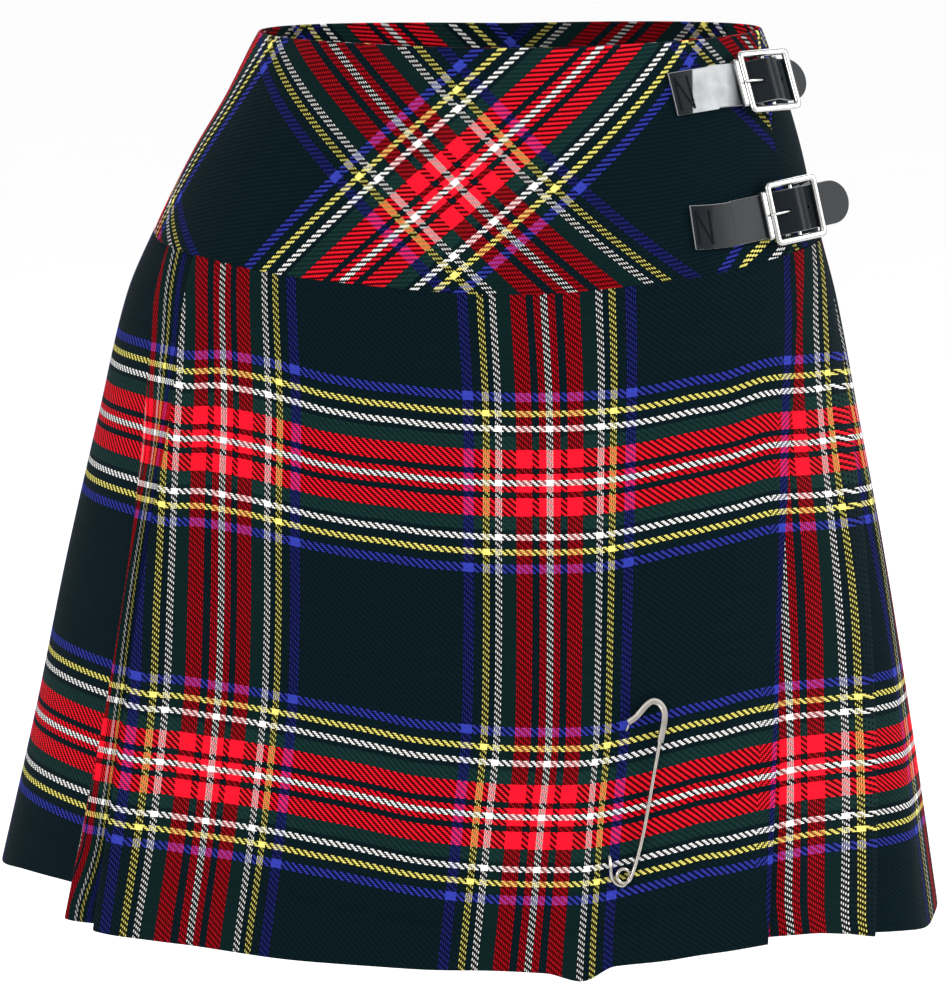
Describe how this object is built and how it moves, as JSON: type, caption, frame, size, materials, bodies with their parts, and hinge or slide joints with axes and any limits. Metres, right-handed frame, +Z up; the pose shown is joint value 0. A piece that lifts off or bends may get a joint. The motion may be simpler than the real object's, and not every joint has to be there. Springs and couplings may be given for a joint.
{
  "type": "kilt skirt",
  "caption": "Short wrap kilt skirt in a black-ground tartan, with a bias yoke, pleated sides and back, leather straps and a kilt pin.",
  "frame": {"origin": "middle of the waist opening, level with the yoke's top edge at the centre front, where the waist of the wearer holds it", "axes": "+Z up, front towards -Y, +X to the right of someone who looks at its front"},
  "size_m": [0.5201, 0.3928, 0.481],
  "materials": {
    "tartan": "wool twill, black ground with red, green, blue, yellow and white checks",
    "leather": "smooth black, semi-gloss, with paler cut edges",
    "steel": "nickel-plated, satin"
  },
  "bodies": {
    "root": {"over_apron": "tartan", "left_side_panel": "tartan", "back_pleats_left": "tartan", "back_pleats_middle": "tartan", "back_pleats_right": "tartan", "right_side_panel": "tartan", "under_apron": "tartan", "front_yoke": "tartan", "back_yoke": "tartan", "under_yoke": "tartan", "strap_upper": "leather", "strap_lower": "leather", "buckle_tab_upper": "leather", "buckle_tab_lower": "leather", "buckle_frame_upper": "steel", "buckle_frame_lower": "steel", "buckle_keeper_upper": "steel", "buckle_keeper_lower": "steel", "buckle_prong_upper": "steel", "buckle_prong_lower": "steel", "kilt_pin": "steel"}
  },
  "joints": []
}
